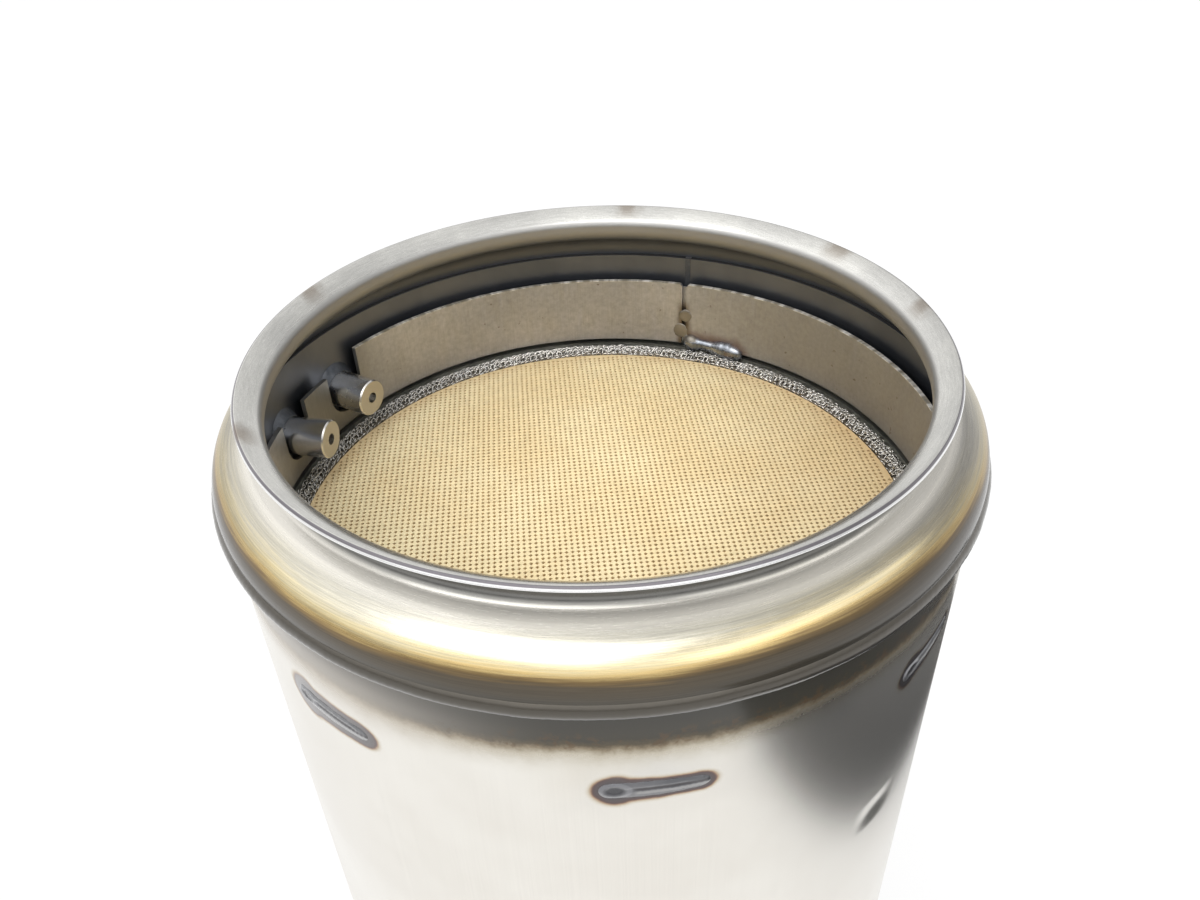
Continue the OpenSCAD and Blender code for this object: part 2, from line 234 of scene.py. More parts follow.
def honeycomb(name, place):
    """One face of the block: open cells between plugs, out to a plain border."""
    c, s = cos(LATTICE_TURN), sin(LATTICE_TURN)
    n = int(BLOCK_R / LATTICE) + 2
    lattice = [(i, j) for i in range(-n, n + 1) for j in range(-n, n + 1)]
    whole = [(i, j) for i, j in lattice if hypot(abs(i) + .5, abs(j) + .5) * LATTICE < FACE_R - 0.1]
    inside = set(whole)
    rng = random.Random(5)
    verts, faces, grid = [], [], {}

    def point(x, y, z):
        verts.append(place((c * x - s * y, s * x + c * y, z)))
        return len(verts) - 1

    def corner(i, j):
        """Lattice corner, the middle of a plug; the face is slightly uneven."""
        if (i, j) not in grid:
            dz = 0.05 * noise.noise(Vector((i * 0.7, j * 0.7, 3.0)))
            grid[i, j] = point((i - .5) * LATTICE, (j - .5) * LATTICE, FACE_Z + dz)
        return grid[i, j]

    def open_cell(x, y, half):
        """Adds the four walls of a cell and gives the points of its mouth."""
        mouth = [point(x + a * half, y + b * half, MOUTH) for a, b in CORNERS]
        foot = [point(x + a * half, y + b * half, FACE_Z - PIT) for a, b in CORNERS]
        for k, m in loop(4):
            faces.append((mouth[k], mouth[m], foot[m], foot[k]))
        return mouth

    for i, j in whole:
        ring = [corner(i, j), corner(i + 1, j), corner(i + 1, j + 1), corner(i, j + 1)]
        half = CELL_HALF * (1 + CELL_SPREAD * rng.uniform(-1, 1))
        x = i * LATTICE + rng.uniform(-CELL_STRAY, CELL_STRAY)
        y = j * LATTICE + rng.uniform(-CELL_STRAY, CELL_STRAY)
        mouth = open_cell(x, y, half)
        for k, m in loop(4):
            faces.append((ring[k], ring[m], mouth[k]))
            faces.append((ring[m], mouth[m], mouth[k]))
    # Border between the outermost whole cells and the block's edge, with the open cells that fit in it
    index, edges = {}, []
    for i, j in whole:
        for (di, dj), *shared in SIDES:
            if (i + di, j + dj) not in inside:
                ends = [(i + a, j + b) for a, b in shared]
                edges.append(tuple(index.setdefault(key, len(index)) for key in ends))
    border = list(index)
    points = [Vector(((i - .5) * LATTICE, (j - .5) * LATTICE)) for i, j in border]
    rim = [polar(FACE_R, 360.0 * k / RIM_POINTS, 0.0)[:2] for k in range(RIM_POINTS)]
    edges += loop(RIM_POINTS, len(border))
    points += [Vector(p) for p in rim]
    late = set()
    for i, j in lattice:
        if (i, j) not in inside and hypot(i, j) * LATTICE < FACE_R - CELL_HALF - 0.25:
            late.add((i, j))
            x, y = i * LATTICE, j * LATTICE
            edges += loop(4, len(points))
            points += [Vector((x + a * CELL_HALF, y + b * CELL_HALF)) for a, b in CORNERS]
            open_cell(x, y, CELL_HALF)
    flat, _, flat_faces, sources, _, _ = delaunay_2d_cdt(points, edges, [], 0, 1e-5)
    ids = []
    for v, source in zip(flat, sources):
        shared = source and source[0] < len(border)
        ids.append(corner(*border[source[0]]) if shared else point(v.x, v.y, MOUTH))
    for f in flat_faces:
        mid = sum((flat[k] for k in f), Vector((0, 0))) / len(f)
        i, j = floor(mid.x / LATTICE + .5), floor(mid.y / LATTICE + .5)
        span = abs(mid.x - i * LATTICE) + abs(mid.y - j * LATTICE)
        hole = (i, j) in late and span < CELL_HALF
        if (i, j) not in inside and mid.length <= FACE_R and not hole:
            faces.append(tuple(ids[k] for k in f))
    # Side of the block, down to the end of the modelled depth
    top = [point(x, y, FACE_Z - 0.02) for x, y in rim]
    foot = [point(x, y, FACE_Z - PIT) for x, y in rim]
    for k, m in loop(RIM_POINTS):
        faces.append((top[k], top[m], foot[m], foot[k]))
    return mesh_object(name, verts, faces, smooth=False)


def block_core(name):
    """Solid body of the block, between the modelled ends of its cells."""
    low, high = -FACE_Z + PIT - 0.01, TOTAL + FACE_Z - PIT + 0.01
    r, n = BLOCK_R - 0.03, CORE_SIDES
    verts = [polar(r, 360 * k / n, z) for z in (low, high) for k in range(n)]
    faces = [(k, m, n + m, n + k) for k, m in loop(n)]
    faces += [tuple(reversed(range(n))), tuple(range(n, 2 * n))]
    return mesh_object(name, verts, faces, sharp=40)


# Knitted wire of the seals

KNIT = {"inlet": (5, 290, 14), "outlet": (4, 220, 11)}  # rows, loops in a row, points in a loop
WIRE_R, WIRE_SIDES = 0.29, 4
LOOP_WIDE, LOOP_LEAN, LOOP_LIFT = 1.9, 0.34, 0.75  # half width in mm, lean as a share of the pitch, lift
DOME = 2.0  # how much lower the edges of the ring lie
WIRE_ASKEW = (0.31, 0.27, 0.91)  # a direction that no wire follows
WIRE_SEED = 1795825991  # of noise_vector, which otherwise starts from the clock


def wire_rings(paths):
    """One mesh of closed round wires along the given point rows."""
    verts, faces = [], []
    turn = np.arange(WIRE_SIDES) * 2 * pi / WIRE_SIDES
    sides = loop(WIRE_SIDES)
    for path in paths:
        p = np.asarray(path)
        n = len(p)
        along = np.roll(p, -1, 0) - np.roll(p, 1, 0)
        along /= np.linalg.norm(along, axis=1)[:, None]
        u = np.cross(along, np.array(WIRE_ASKEW))
        u /= np.linalg.norm(u, axis=1)[:, None]
        v = np.cross(along, u)
        off = np.cos(turn)[None, :, None] * u[:, None, :] + np.sin(turn)[None, :, None] * v[:, None, :]
        base = len(verts)
        verts.extend(map(tuple, (p[:, None, :] + WIRE_R * off).reshape(-1, 3)))
        for i in range(n):
            one, two = base + i * WIRE_SIDES, base + (i + 1) % n * WIRE_SIDES
            for j, k in sides:
                faces.append((one + j, two + j, two + k, one + k))
    return verts, faces


def knit(name, place, rows, loops, per_loop):
    """Rows of interlocked loops, crushed into a low dome in the gap around the block."""
    inner, outer, top = BLOCK_R + 0.4, CAN_IR - 0.45, FACE_Z + 1.3
    rng = random.Random(11)
    noise.seed_set(WIRE_SEED)
    paths = []
    for row in range(rows):
        mid = inner + (outer - inner) * (row + 0.5) / rows
        phase = rng.uniform(0, 1)
        n = loops * per_loop
        pitch = 2 * pi * mid / loops
        path = []
        for k in range(n):
            t = 2 * pi * k / per_loop
            a = 2 * pi * k / n
            q = Vector((cos(a) * 60, sin(a) * 60, row * 7.0))
            coarse, fine = noise.noise_vector(q), noise.noise_vector(q * 2.6)
            along = pitch * (k / per_loop + phase) + LOOP_LEAN * pitch * sin(2 * t)
            along += 0.9 * coarse[0] + 0.8 * fine[0]
            across = mid + LOOP_WIDE * cos(t) + 0.9 * coarse[1] + 0.8 * fine[1]
            across = min(max(across, inner), outer)
            side = (across - (inner + outer) / 2) / (outer - inner) * 2
            lift = LOOP_LIFT * cos(2 * t + 0.6) + 0.8 * coarse[2] + 0.9 * fine[2]
            lift += 0.9 - DOME * side * side
            path.append(place(polar(across, degrees(along / mid), top + lift)))
        paths.append(path)
    return mesh_object(name, *wire_rings(paths))


# Tack welds under the strips, and the spots fused over their joint

TACK_TURN = -6.9  # degrees from the joint to the middle of its tack weld
TACK_SPAN, TACK_STEPS, TACK_SIDES = 14.2, 60, 16
TACK_BODY = 2.5  # half height of the bead, mm
TACK_LUMPS = ((1.9, 0.86, 0.12), (2.3, 0.28, 0.22))  # extra half height, place along the bead, width
# Degrees from the joint, mm above the strips' lower edge, half width and half height
FUSED_SPOTS = ((-0.3, 17.0, 4.0, 4.1), (0.7, 7.6, 4.3, 4.6))
FUSED_THICK = 0.62
BLOB_ROUGH = 0.12
VOXEL = 0.45  # mesh size of the melted skin, mm


def blob(bm, centre, radii, seed):
    """Lumpy weld metal around a point; radii run along the radius, the turn and the height."""
    made = bmesh.ops.create_icosphere(bm, subdivisions=3, radius=1.0)
    az = atan2(centre[1], centre[0])
    er = Vector((cos(az), sin(az), 0))
    et = Vector((-sin(az), cos(az), 0))
    ez = Vector((0, 0, 1))
    for v in made["verts"]:
        d = v.co.copy()
        k = 1 + BLOB_ROUGH * noise.noise(d * 1.7 + Vector((seed, 0, 0)))
        k += 0.4 * BLOB_ROUGH * noise.noise(d * 4.0 + Vector((0, seed, 0)))
        v.co = Vector(centre) + k * (er * d.x * radii[0] + et * d.y * radii[1] + ez * d.z * radii[2])


def tack_run(bm, mid, seed):
    """Run weld bead between strip and can: a round lump where it starts, a thin neck and a long end."""
    rings = []
    for i in range(TACK_STEPS + 1):
        t = i / TACK_STEPS
        size = TACK_BODY
        for more, at, wide in TACK_LUMPS:
            size += more * exp(-((t - at) / wide) ** 2)
        size *= sqrt(max(1 - (2 * t - 1) ** 8, 0.0))
        size *= (1.12 + 0.12 * noise.noise(Vector((t * 9, seed, 0)))
                 + 0.05 * noise.noise(Vector((t * 24, seed, 2))))
        lift = -0.8 + 2.2 * t + 0.4 * noise.noise(Vector((t * 7, seed, 5)))
        ring = []
        for k in range(TACK_SIDES):
            a = 2 * pi * k / TACK_SIDES
            r = CAN_IR - 0.4 + 0.74 * size * cos(a)
            z = STRIP_LOW + lift + size * sin(a)
            ring.append(bm.verts.new(polar(r, mid + TACK_SPAN * (t - 0.5), z)))
        rings.append(ring)
    for one, two in zip(rings, rings[1:]):
        for k, m in loop(TACK_SIDES):
            bm.faces.new((one[k], one[m], two[m], two[k]))
    bm.faces.new(rings[0][::-1])
    bm.faces.new(rings[-1])


def tack_object(name, place):
    """Three run beads and the fused spots of one end; what overlaps is melted into one skin."""
    bm = bmesh.new()
    for third in range(3):
        tack_run(bm, JOINT_AZ + TACK_TURN + 120 * third, 3.0 * third)
    for i, (turn, up, wide, high) in enumerate(FUSED_SPOTS):
        blob(bm, polar(CAN_IR + 0.1, JOINT_AZ + turn, STRIP_LOW + up), (FUSED_THICK, wide, high), i * 3.7)
    bmesh.ops.recalc_face_normals(bm, faces=bm.faces)
    for v in bm.verts:
        v.co = Vector(place(v.co)) * MM
    ob = bmesh_object(name, bm)
    melt = ob.modifiers.new("melt", "REMESH")
    melt.mode = "VOXEL"
    melt.voxel_size = VOXEL * MM
    flow = ob.modifiers.new("flow", "SMOOTH")
    flow.factor = 0.5
    flow.iterations = 5
    shown = ob.evaluated_get(bpy.context.evaluated_depsgraph_get())
    me = bpy.data.meshes.new_from_object(shown)
    ob.modifiers.clear()
    ob.data = me
    me.shade_smooth()
    return ob


# Tab behind the joint of the strips

TAB_RADII, TAB_HEIGHTS = (144.3, 145.3), (-70.0, -46.5)
TAB_HALF, TAB_STEPS, TAB_ROUND = 3.6, 12, 1.6  # degrees, steps around, and mm at the corners


def joint_tongue(name, place):
    """Lap behind the slot between the strips: a short bent tab with rounded ends."""
    low, high = TAB_HEIGHTS
    verts, faces = [], []
    for r in TAB_RADII:
        for i in range(TAB_STEPS + 1):
            side = 2 * i / TAB_STEPS - 1
            az = JOINT_AZ + TAB_HALF * side
            drop = TAB_ROUND * abs(side) ** 4
            verts.append(place(polar(r, az, low + drop)))
            verts.append(place(polar(r, az, high - drop)))
    m = 2 * (TAB_STEPS + 1)
    for a in range(0, 2 * TAB_STEPS, 2):
        faces += [(a, a + 2, a + 3, a + 1), (m + a, m + a + 1, m + a + 3, m + a + 2),
                  (a, m + a, m + a + 2, a + 2), (a + 1, a + 3, m + a + 3, m + a + 1)]
    a = 2 * TAB_STEPS
    faces += [(0, 1, m + 1, m), (a, m + a, m + a + 1, a + 1)]
    return mesh_object(name, verts, faces, sharp=40)


# Stitch welds

STITCH_HALF, STITCH_END = 3.7, 14.5  # half width, and half length between the round ends
CRATER, CRATER_LONG = 13.0, 0.66  # from the middle to the crater, and the crater's width by its length
STITCH_ALONG, STITCH_ACROSS = 84, 22  # mesh steps
CROWN, GROOVE_DEEP, CRATER_DEEP, CRATER_LIP = 0.42, 0.42, 0.60, 0.16


def stitch_crown(s, y, edge, full, seed):
    """Height of a stitch over the shell; edge runs from 0 at its sides to 1 in the middle."""
    crown = CROWN * edge * full
    crown += 0.05 * sin(2 * pi * (s / 1.9 + 0.3 * edge)) * edge
    crown += 0.06 * edge * noise.noise(Vector((s * 0.5, y * 0.8, seed)))
    groove = min(max((s + STITCH_END - 3) / 4, 0), 1) * min(max((STITCH_END - s) / 5, 0), 1)
    crown -= GROOVE_DEEP * groove * exp(-((y - 0.5) / 0.75) ** 2)
    d = hypot(CRATER_LONG * (s + CRATER), y)
    crown -= CRATER_DEEP * exp(-(d / 1.9) ** 4)
    return crown + CRATER_LIP * exp(-((d - 2.9) / 0.6) ** 2) * edge


def stitch_object(name, place):
    """Welds through the shell: a groove along the middle and a crater where the arc stopped."""
    verts, faces = [], []
    reach = STITCH_END + STITCH_HALF
    row = STITCH_ACROSS + 1
    for i in range(STITCHES):
        mid = STITCH_AZ + 360.0 / STITCHES * i
        base = len(verts)
        for a in range(STITCH_ALONG + 1):
            s = reach * sin(pi * (a / STITCH_ALONG - 0.5))
            over = max(abs(s) - STITCH_END, 0.0) / STITCH_HALF
            width = STITCH_HALF * sqrt(max(1 - over * over, 0.0))
            width *= 1 - 0.28 * max(s, 0) / reach + 0.05 * noise.noise(Vector((s * 0.4, i * 4.0, 0)))
            for b in range(row):
                t = sin(pi * (b / STITCH_ACROSS - 0.5))
                y = t * width
                crown = stitch_crown(s, y, 1 - t * t, width / STITCH_HALF, i * 5.0)
                lift = max(crown, 0.03) if abs(t) < 0.999 and width > 0.05 else -0.04
                verts.append(place(polar(SHELL_OR + lift, mid + degrees(s / SHELL_OR), STITCH_Z + y)))
        for a in range(STITCH_ALONG):
            for b in range(STITCH_ACROSS):
                q = base + a * row + b
                faces.append((q, q + row, q + row + 1, q + 1))
    return mesh_object(name, verts, faces)


# Shell: the CAD mesh, cut finer around its dent

DENT_AZ, DENT_Z = -47.0, -154.0
DENT_LONG, DENT_WIDE, DENT_DEEP = 15.0, 10.0, 0.8  # half length, half height and depth, mm
DENT_SECTOR = 8.0  # degrees on both sides that are cut finer
DENT_CUTS, CUT_TURN, CUT_DROP = 13, 0.48, 0.85  # cuts on both sides, their pitch in degrees and mm
SAME_POINT = 1e-7


def dent_depth(turn, rise):
    """How far the dent goes in, in mm, at a place in mm from its middle."""
    depth = DENT_DEEP
    for off, half in ((turn, DENT_LONG), (rise, DENT_WIDE)):
        t = max(1 - abs(off) / half, 0.0)
        depth *= t * t * (3 - 2 * t)
    return depth


def dent_place(co):
    """Place of a shell point from the middle of the dent, in mm along the turn and up."""
    turn = atan2(co.y, co.x) - radians(DENT_AZ)
    return turn * SHELL_OR, co.z / MM - TOTAL - DENT_Z


def on_outside(co):
    return hypot(co.x, co.y) > (SHELL_OR - 0.1) * MM


def dented_shell(name):
    """The shell with a shallow dent low on the right."""
    bm = bmesh.new()
    bm.from_mesh(NODES["body_tube"].data)
    bmesh.ops.remove_doubles(bm, verts=bm.verts, dist=SAME_POINT)
    span = radians(DENT_SECTOR) * SHELL_OR
    cuts = []
    for k in range(-DENT_CUTS, DENT_CUTS + 1):
        a = radians(DENT_AZ + k * CUT_TURN)
        cuts.append(((0, 0, 0), (-sin(a), cos(a), 0)))
        cuts.append(((0, 0, (TOTAL + DENT_Z + k * CUT_DROP) * MM), (0, 0, 1)))
    for through, across in cuts:
        geom = set()
        for f in bm.faces:
            near = abs(dent_place(f.calc_center_median())[0]) < span
            if near and all(on_outside(v.co) for v in f.verts):
                geom.update((f, *f.edges, *f.verts))
        bmesh.ops.bisect_plane(bm, geom=list(geom), dist=SAME_POINT, plane_co=through, plane_no=across)
    for v in bm.verts:
        turn, rise = dent_place(v.co)
        if on_outside(v.co) and abs(turn) < span:
            az = degrees(atan2(v.co.y, v.co.x))
            v.co = Vector(polar(SHELL_OR - dent_depth(turn, rise), az, v.co.z / MM)) * MM
    ob = bmesh_object(name, bm)
    ob.data.shade_smooth()
    ob.data.normals_split_custom_set(shell_normals(ob.data))
    return ob


def shell_normals(me):
    """Normals of a true cylinder with the dent's slope, and flat ones on ends and holes."""
    eps = 0.01
    normals = []
    for face in me.polygons:
        for i in face.vertices:
            co = me.vertices[i].co
            out = Vector((co.x, co.y, 0)).normalized()
            facing = out.dot(face.normal)
            normal = face.normal.copy()
            if facing < -0.9:
                normal = -out
            elif facing > 0.9:
                turn, rise = dent_place(co)
                lean = (dent_depth(turn + eps, rise) - dent_depth(turn - eps, rise)) / (2 * eps)
                tip = (dent_depth(turn, rise + eps) - dent_depth(turn, rise - eps)) / (2 * eps)
                normal = (out + lean * Vector((-out.y, out.x, 0)) + tip * Vector((0, 0, 1))).normalized()
            normals.append(normal)
    return normals


# Materials

class Tree:
    """Short names for the shader nodes of a material or a world."""

    def __init__(self, owner):
        owner.use_nodes = True
        self.tree = owner.node_tree

    def add(self, kind, *values, **props):
        node = self.tree.nodes.new("ShaderNode" + kind)
        for key, value in props.items():
            setattr(node, key, value)
        for socket, value in zip(node.inputs, values):
            self.feed(socket, value)
        return node

    def feed(self, socket, value):
        if isinstance(value, bpy.types.NodeSocket):
            self.tree.links.new(value, socket)
        elif value is not None:
            socket.default_value = value

    def put(self, node, values):
        """Feeds inputs of a node by their names."""
        for key, value in values.items():
            self.feed(node.inputs[key], value)

    def math(self, op, a, b=None, c=None):
        return self.add("Math", a, b, c, operation=op).outputs[0]

    def mul(self, a, b):
        return self.math("MULTIPLY", a, b)

    def plus(self, a, b):
        return self.math("ADD", a, b)

    def most(self, a, b):
        return self.math("MAXIMUM", a, b)

    def flip(self, a):
        return self.math("SUBTRACT", 1.0, a)

    def hypot(self, a, b):
        return self.math("SQRT", self.plus(self.mul(a, a), self.mul(b, b)))

    def step(self, value, low, high, to_low=0.0, to_high=1.0):
        """Smooth step from to_low at low to to_high at high; low may be the larger one."""
        node = self.add("MapRange", value, low, high, to_low, to_high, interpolation_type="SMOOTHSTEP")
        return node.outputs[0]

    def between(self, value, rise, fall):
        """1 between two smooth steps."""
        return self.mul(self.step(value, *rise), self.step(value, *fall))


class Shader(Tree):
    """One procedural material, built from the part's own coordinates in metres."""

    def __init__(self, name, metallic=1.0, rough=0.4):
        self.mat = bpy.data.materials.new(name)
        super().__init__(self.mat)
        self.bsdf = self.tree.nodes["Principled BSDF"]
        self.colour = None
        self.put(self.bsdf, {"Metallic": metallic, "Roughness": rough})
        self.pos = self.add("TexCoord").outputs["Object"]
        self.x, self.y, self.z = self.add("SeparateXYZ", self.pos).outputs
        self.r = self.hypot(self.x, self.y)
        self.nx = self.math("DIVIDE", self.x, self.r)
        self.ny = self.math("DIVIDE", self.y, self.r)

    def metallic(self, value):
        self.feed(self.bsdf.inputs["Metallic"], value)

    def radius(self):
        """Distance from the axis, in mm."""
        return self.mul(self.r, 1000.0)

    def depth(self):
        """Depth below the nearer flange rim, in mm."""
        up = self.math("SUBTRACT", TOTAL * MM, self.z)
        return self.mul(self.math("MINIMUM", self.z, up), 1000.0)

    def inside_shell(self):
        return self.math("LESS_THAN", self.r, (SHELL_IR + 0.6) * MM)

    def away(self, az0):
        """Degrees between a point and a direction, 0 to 180."""
        a = radians(az0)
        dot = self.plus(self.mul(self.nx, cos(a)), self.mul(self.ny, sin(a)))
        dot = self.math("MINIMUM", self.most(dot, -1.0), 1.0)
        return self.mul(self.math("ARCCOSINE", dot), 180 / pi)

    def away_from(self, centre, r, depth):
        """Distance in mm from a point of the section, which is given as radius and height."""
        return self.hypot(self.plus(r, -centre[0]), self.plus(depth, centre[1]))

    def noise(self, scale, detail=3.0, rough=0.55, vec=None, distortion=0.0):
        node = self.add("TexNoise", vec or self.pos)
        self.put(node, {"Scale": scale, "Detail": detail, "Roughness": rough, "Distortion": distortion})
        return node.outputs["Fac"]

    def stray(self, noise, span):
        """Noise centred on zero, span wide."""
        return self.mul(self.plus(noise, -0.5), span)

    def weld_noise(self):
        """Stains and fine ripples of weld metal."""
        return self.noise(90, 5), self.noise(420, 3)

    def around(self, turns, height):
        """Coordinates that run around the axis and with a height."""
        return self.add("CombineXYZ", self.mul(self.nx, turns), self.mul(self.ny, turns), height).outputs[0]

    def grain(self, turns, along, radial=0.0):
        """Coordinates stretched about the axis: streaks run where the number is small."""
        h = self.mul(self.z, along)
        if radial:
            h = self.plus(h, self.mul(self.r, radial))
        return self.around(turns, h)

    def bend(self, turns, along):
        """Coordinates over the drawn flange: around the axis, and along its section."""
        turn = self.math("ARCTAN2", self.plus(self.depth(), SHOULDER_C[1]),
                         self.plus(self.radius(), -SHOULDER_C[0]))
        return self.around(turns, self.mul(turn, along * SHOULDER_R))

    def mix(self, fac, a, b, blend="MIX"):
        node = self.add("Mix", data_type="RGBA", blend_type=blend)
        self.feed(node.inputs[0], fac)
        self.feed(node.inputs[6], a)
        self.feed(node.inputs[7], b)
        return node.outputs[2]

    def tones(self, noise, a, b, low=0.3, high=0.7):
        """Two colours that noise blends into each other."""
        return self.mix(self.step(noise, low, high), a, b)

    def ramp(self, value, *stops):
        node = self.add("ValToRGB", value)
        elements = node.color_ramp.elements
        while len(elements) < len(stops):
            elements.new(0.5)
        for element, (at, colour) in zip(elements, stops):
            element.position = at
            element.color = colour
        return node.outputs[0]

    def shade(self, colour, fac, low, high):
        """Multiplies a colour by a grey that runs from low to high with fac."""
        grey = self.ramp(fac, (0.25, (low, low, low, 1)), (0.75, (high, high, high, 1)))
        return self.mix(1.0, colour, grey, "MULTIPLY")

    def paint(self, fac, colour):
        """Lays a colour over the paint so far, as thick as fac says."""
        self.colour = self.mix(fac, self.colour, colour)

    def vary(self, fac, low, high):
        """Makes the paint so far darker and lighter with fac."""
        self.colour = self.shade(self.colour, fac, low, high)

    def film(self, weight):
        """Thin glossy skin of oxide, which mirrors the room where the steel turns away."""
        self.put(self.bsdf, {"Coat Weight": weight, "Coat Roughness": 0.14, "Coat IOR": 1.4})

    def finish(self, rough, bump, strength, distance):
        """Joins the paint, a roughness and a bump, whose distance is in metres, to the shader."""
        node = self.add("Bump")
        self.put(node, {"Strength": strength, "Distance": distance, "Height": bump})
        self.put(self.bsdf, {"Base Color": self.colour, "Roughness": rough, "Normal": node.outputs[0]})
        return self.mat


LIP_MARKS = ((82, 3.2), (34, 4.0), (8, 3.0), (156, 3.4), (-157, 3.6))  # azimuth and size, degrees


def outer_face(m, r, depth):
    """Masks of the flange's outer face, which the welding heat reached, and of the neck under the lip."""
    slope = radians(SLOPE)
    height = m.plus(m.mul(r, sin(slope)), m.mul(depth, -cos(slope)))
    face = GROOVE_C[0] * sin(slope) + GROOVE_C[1] * cos(slope) - GROOVE_R
    out = m.most(m.step(height, face - 1.3, face - 0.9),
                 m.step(m.away_from(SHOULDER_C, r, depth), SHOULDER_R - 1.3, SHOULDER_R - 0.9))
    out = m.most(out, m.step(r, SKIRT_OR - 1.2, SKIRT_OR - 0.8))
    neck = m.step(m.away_from(GROOVE_C, r, depth), GROOVE_R + 1.3, GROOVE_R + 0.9)
    side = m.step(r, NECK_EDGE - 0.3, NECK_EDGE + 0.3)
    return m.plus(m.mul(out, side), m.mul(neck, m.flip(side))), neck


def flange_material():
    """Satin drawn steel, heat tinted outside and dull inside, with painted shade and light on the shoulder,
    the neck and the lip.
    """
    m = Shader("flange_steel")
    depth, r = m.depth(), m.radius()
    rings = m.noise(1.0, 4, vec=m.bend(5, 1.1))
    fine = m.noise(1.0, 3, vec=m.bend(22, 4.0))
    speck = m.noise(1500, 3, 0.6)
    m.colour = m.tones(m.noise(26, 4), rgb(206, 205, 201), rgb(218, 217, 212), 0.35, 0.65)
    m.vary(rings, 0.92, 1.04)
    m.vary(fine, 0.89, 1.08)
    m.vary(speck, 0.90, 1.07)
    out, neck = outer_face(m, r, depth)
    # Dull from the exhaust: the inner face below the lip
    dull = m.mul(m.step(depth, 4.4, 6.0), m.flip(out))
    soot_and_shade = m.mix(m.step(depth, 9.0, 15.0), rgb(164, 163, 161), rgb(112, 115, 121))
    m.paint(m.mul(dull, 0.93), soot_and_shade)
    # Heat tint on the lower shoulder: straw, gold, brown, then dark
    wave = m.plus(m.plus(depth, m.stray(m.noise(7, 3), 8.0)), m.stray(rings, 4.0))
    wave = m.plus(wave, m.step(m.away(-52), 42.0, 6.0, 0.0, 1.6))
    wave = m.plus(wave, m.step(m.away(-150), 46.0, 12.0))
    tint = m.ramp(m.step(wave, 12.0, 37.0),
                  (0.0, rgb(205, 203, 196)), (0.18, rgb(204, 199, 182)), (0.35, rgb(214, 200, 160)),
                  (0.46, rgb(214, 187, 130)), (0.54, rgb(146, 123, 86)), (0.64, rgb(96, 85, 68)),
                  (1.0, rgb(79, 75, 66)))
    tint = m.shade(tint, rings, 0.88, 1.07)
    tint = m.shade(tint, fine, 0.88, 1.08)
    tint = m.shade(tint, m.noise(1.0, 3, vec=m.bend(2, 2.0)), 0.82, 1.12)
    m.paint(m.mul(m.step(wave, 9.0, 15.0), out), tint)
    # Painted shade, slightly blue, on the outer shoulder away from the front and at the front right
    shoulder_shade = m.plus(m.step(m.away(-95), 25.0, 62.0, 0.0, 0.62), m.step(m.away(-40), 48.0, 15.0, 0.0, 0.30))
    shoulder_shade = m.mul(m.mul(shoulder_shade, out), m.step(depth, 13.0, 17.0))
    m.paint(shoulder_shade, m.mix(1.0, m.colour, (0.60, 0.60, 0.64, 1), "MULTIPLY"))
    # The hollow neck under the lip gets painted shade; where it runs out on the slope it gets painted
    # light, paler and less metallic
    m.paint(m.mul(neck, m.step(depth, 14.6, 11.4, 0.42, 0.80)), rgb(90, 89, 87))
    pale = m.mul(m.between(r, (132.6, 134.6), (143.0, 138.5)), m.mul(m.step(depth, 12.6, 14.0), out))
    m.paint(m.mul(pale, 0.6), rgb(226, 222, 214))
    m.metallic(m.flip(m.mul(pale, 0.40)))
    # The lip's sheared edge: grey above, a painted reflection of the dark tube wall, and bright below, a
    # painted white highlight
    lean = radians(LIP_ANGLE)
    over = m.plus(r, -RIM_R)
    past = m.plus(m.mul(over, cos(lean)), m.mul(depth, -sin(lean)))
    along = m.plus(m.mul(over, sin(lean)), m.mul(depth, cos(lean)))
    edge = m.mix(m.step(along, 1.15, 1.45), rgb(120, 116, 122), rgb(250, 250, 250))
    m.paint(m.mul(m.step(past, 0.30, 0.48), 0.92), edge)
    # Brown marks on the lip where the clamp tooling held it
    for az, size in LIP_MARKS:
        near = m.plus(m.away(az), m.stray(m.noise(120, 4, 0.65), 5.0))
        spot = m.mul(m.step(near, size + 0.6, 0.4), m.step(depth, 6.0, 0.5))
        m.paint(m.mul(spot, 0.55), rgb(124, 106, 86))
    # The dark oxide and the sooty inner face are matt
    oxide = m.mul(m.step(wave, 23.0, 28.0), out)
    rough = m.plus(m.step(fine, 0.3, 0.7, 0.20, 0.28), m.mul(m.most(oxide, dull), 0.27))
    m.film(oxide)
    return m.finish(rough, m.plus(fine, speck), 0.10, 0.0001)


def seam_material():
    """Grey weld metal, sooty inside the tube like its wall."""
    m = Shader("seam_metal")
    cloud, ripple = m.weld_noise()
    m.colour = m.tones(cloud, rgb(112, 112, 113), rgb(146, 146, 147))
    m.paint(m.step(m.noise(55, 4), 0.56, 0.72, 0.0, 0.6), rgb(120, 110, 100))
    inside = m.inside_shell()
    m.paint(inside, m.tones(cloud, rgb(90, 94, 100), rgb(112, 115, 120)))
    rough = m.plus(m.step(ripple, 0.3, 0.7, 0.32, 0.5), m.mul(inside, 0.2))
    return m.finish(rough, ripple, 0.25, 0.0002)


